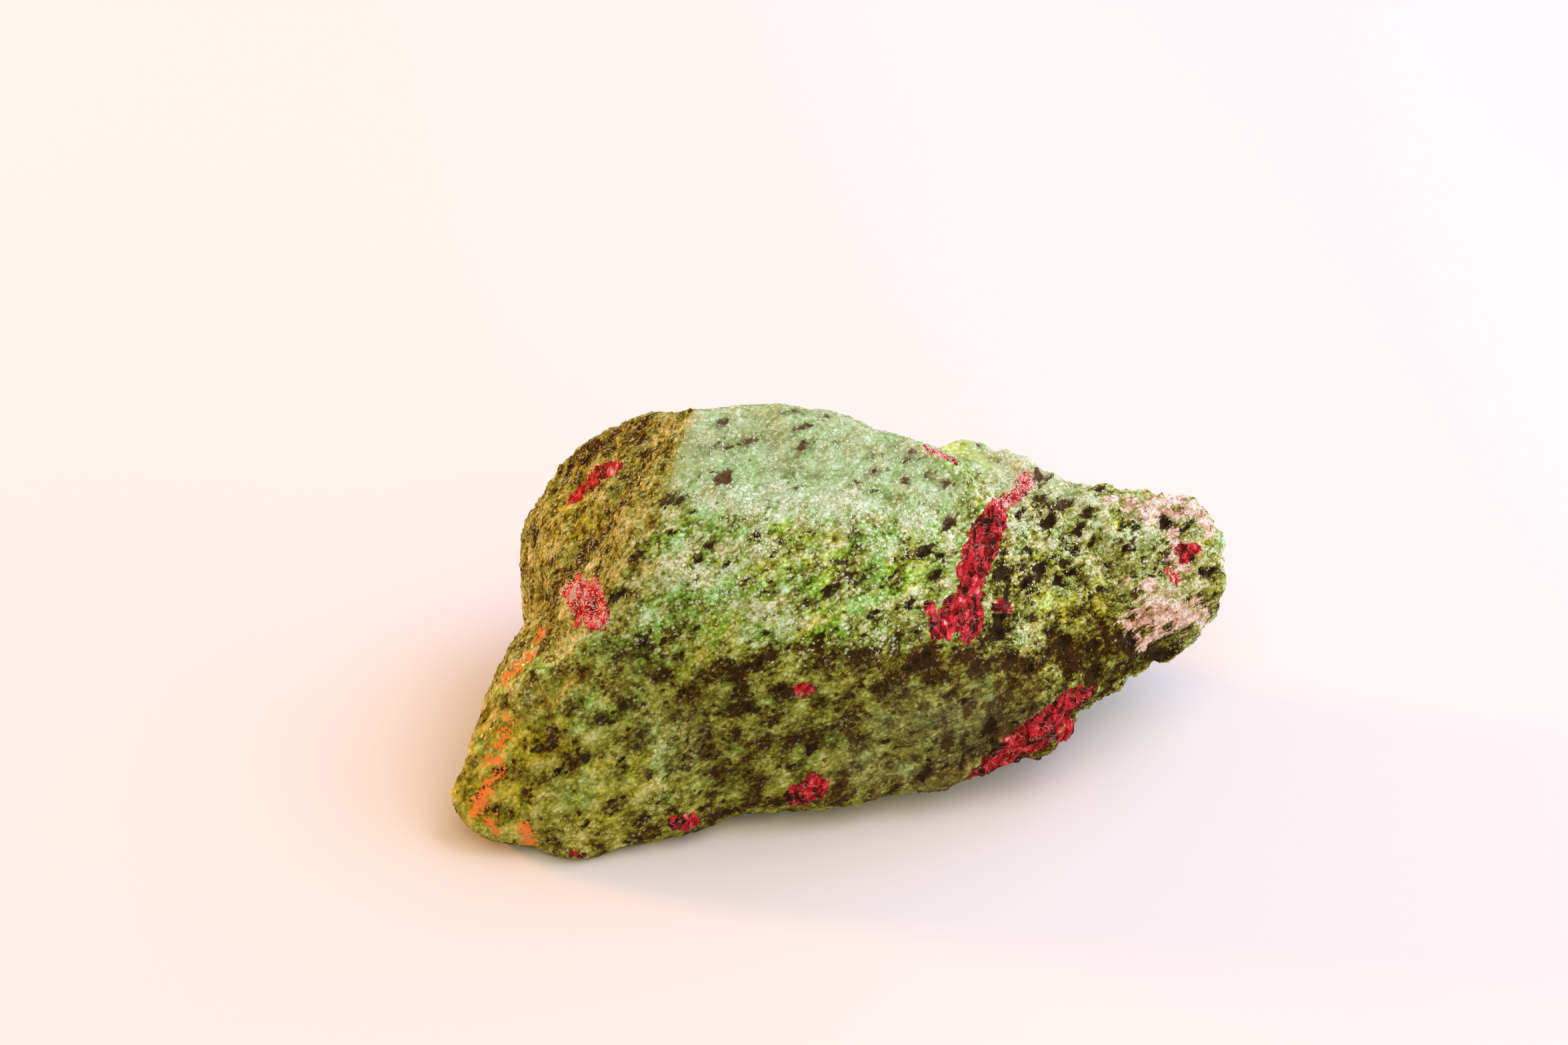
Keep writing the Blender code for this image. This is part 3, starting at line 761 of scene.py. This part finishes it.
    # A few grains in the light parts glint; every grain's face tilts its own way.
    glint = slope_of(tree, sum_of(tree, grains["Pick"], (black, 0.03)), 0.965, 0.995)
    glint = math_of(tree, "MULTIPLY", glint, slope_of(tree, tone, 0.34, 0.60))
    tree.links.new(math_of(tree, "MULTIPLY", glint, 0.8), surface.inputs["Coat Weight"])
    glassy = math_of(tree, "MAXIMUM", ruby, black)
    flat = node(tree, "ShaderNodeMix", {0: glassy, 4: grains["Normal"], 5: bright["Normal"]},
                data_type="VECTOR").outputs[1]
    fine = node(tree, "ShaderNodeBump",
                {"Strength": 0.6, "Distance": 0.00025, "Height": grains["Tone"], "Normal": flat})
    tree.links.new(fine.outputs[0], surface.inputs["Normal"])
    return material


def sugar_finish():
    material, tree, surface = finish_for("zoisite sugar", Roughness=0.7, Specular_IOR_Level=0.08)
    pick = field(tree, "pick")
    value = sum_of(tree, math_of(tree, "SUBTRACT", field(tree, "tone"), 0.04), (pick, 0.24))
    colour = blend_of(tree, field(tree, "pastel"), shades_of(tree, value, ZOISITE),
                      shades_of(tree, value, MINT))
    bruised = math_of(tree, "MULTIPLY", slope_of(tree, pick, 0.2, 0.6), field(tree, "bruised"))
    colour = blend_of(tree, bruised, colour, (0.76, 0.87, 0.74, 1))
    colour = blend_of(tree, field(tree, "pale"), colour, (0.82, 0.66, 0.58, 1))
    tree.links.new(colour, surface.inputs["Base Color"])
    return material


def hornblende_finish():
    material, tree, surface = finish_for("hornblende", Roughness=0.6, Specular_IOR_Level=0.04,
                                         Coat_Roughness=0.15)
    pick = field(tree, "pick")
    # On the mint top the flecks are lightened and browned as painted sheen; elsewhere by dust.
    dust_and_sheen = sum_of(tree, math_of(tree, "MULTIPLY", pick, 0.2), (field(tree, "mint"), 0.6))
    colour = blend_of(tree, dust_and_sheen, (0.013, 0.007, 0.0015, 1), (0.13, 0.08, 0.04, 1))
    tree.links.new(colour, surface.inputs["Base Color"])
    shiny = math_of(tree, "MULTIPLY", slope_of(tree, pick, 0.93, 0.95), 0.6)
    tree.links.new(shiny, surface.inputs["Coat Weight"])
    return material


def ruby_finish():
    material, tree, surface = finish_for("ruby", Roughness=0.4, Specular_IOR_Level=0.15)
    patches = noise_of(tree, millimetres(tree), 1.1, 3, 0.7)
    value = sum_of(tree, -0.53, (field(tree, "pick"), 0.45), (patches, 1.3), (field(tree, "pale"), 0.2),
                   (field(tree, "tone"), 0.2))
    tree.links.new(shades_of(tree, value, RUBY), surface.inputs["Base Color"])
    return material


rock = rock_finish()
skin.materials.clear()
skin.materials.append(rock)
sow("sugar_grains", sugar_finish(), Crowd="sugar_crowd", Per_Square_Metre=26e6, Sides=3, Point=0.0,
    Smallest=(0.12e-3, 0.12e-3, 0.12e-3), Largest=(0.36e-3, 0.36e-3, 0.34e-3), Strike=(1, 0.3, 0.1),
    Wander=(1.2, 1.2, 3.1), Sink=0.0, Seed=3)
sow("rock_crumbs", rock, Crowd="crumb_crowd", Per_Square_Metre=2.4e6, Sides=5, Point=0.3,
    Smallest=(0.3e-3, 0.25e-3, 0.25e-3), Largest=(1.0e-3, 0.7e-3, 0.45e-3), Strike=(0.85, 0.5, 0.2),
    Wander=(0.5, 0.5, 0.9), Sink=0.12e-3, Seed=11)
sow("hornblende_crystals", hornblende_finish(), Crowd="black_crowd", Per_Square_Metre=1.6e6, Sides=4,
    Point=0.38, Smallest=(0.3e-3, 0.15e-3, 0.12e-3), Largest=(1.0e-3, 0.4e-3, 0.26e-3),
    Strike=(0.8, 0.6, 0.2), Wander=(0.3, 0.3, 0.4), Sink=0.05e-3, Seed=5)
sow("ruby_grains", ruby_finish(), Crowd="ruby_crowd", Per_Square_Metre=0.5e6, Sides=5, Point=0.4,
    Smallest=(0.6e-3, 0.3e-3, 0.1e-3), Largest=(2.0e-3, 0.9e-3, 0.26e-3), Strike=(0.15, 1, 0.3),
    Wander=(0.35, 0.35, 0.35), Sink=0.06e-3, Seed=7)

# ---------------------------------------------------------------------------------------------
# The floor
# A plain pale surface under the stone. It isn't part of the object.
# ---------------------------------------------------------------------------------------------
floor_shape = bmesh.new()
bmesh.ops.create_grid(floor_shape, x_segments=1, y_segments=1, size=2.0)
floor_mesh = bpy.data.meshes.new("floor")
floor_shape.to_mesh(floor_mesh)
floor_shape.free()
floor = bpy.data.objects.new("floor", floor_mesh)
bpy.context.scene.collection.objects.link(floor)
floor_mesh.materials.append(finish_for("pale floor", Base_Color=(0.80, 0.83, 0.86, 1), Roughness=0.9,
                                       Specular_IOR_Level=0.0)[0])

# ---------------------------------------------------------------------------------------------
# Light and camera
# A large cool soft box behind at the right, a warm one overhead, a small warm lamp low at the left
# and a pale card low at the right, in a pale room. The camera looks down at the front of the stone.
# ---------------------------------------------------------------------------------------------


def soft_box(name, place, aim, size, power, colour):
    lamp = bpy.data.lights.new(name, "AREA")
    lamp.shape = "DISK"
    lamp.size = size
    lamp.energy = power
    lamp.color = colour
    stand = bpy.data.objects.new(name, lamp)
    stand.location = place
    stand.rotation_euler = (Vector(aim) - Vector(place)).to_track_quat("-Z", "Y").to_euler()
    bpy.context.scene.collection.objects.link(stand)


soft_box("window", (0.78, 0.45, 0.63), (0, 0, 0.01), 1.5, 16.9, (0.66, 0.67, 1.0))
soft_box("ceiling", (0.2, -0.2, 0.8), (0, 0, 0), 1.2, 4.0, (1.0, 0.78, 0.48))
soft_box("warm_lamp", (-0.50, 0.18, 0.13), (0, 0, 0.01), 0.08, 2.6, (1.0, 0.33, 0.06))
soft_box("card", (0.55, -0.20, 0.10), (0.02, 0, 0.01), 0.4, 0.65, (1.0, 0.93, 0.95))
room = bpy.data.worlds.new("pale_room")
room.use_nodes = True
room.node_tree.nodes["Background"].inputs[0].default_value = (1.0, 0.82, 0.62, 1)
room.node_tree.nodes["Background"].inputs[1].default_value = 0.44
bpy.context.scene.world = room
bpy.context.scene.view_settings.view_transform = "Standard"

lens = bpy.data.cameras.new("camera")
lens.lens = 90
lens.clip_start = 0.01
camera = bpy.data.objects.new("camera", lens)
camera.location = (-0.0063, -0.30092, 0.28057)
camera.rotation_euler = (math.radians(50), 0, 0)
bpy.context.scene.collection.objects.link(camera)
bpy.context.scene.camera = camera
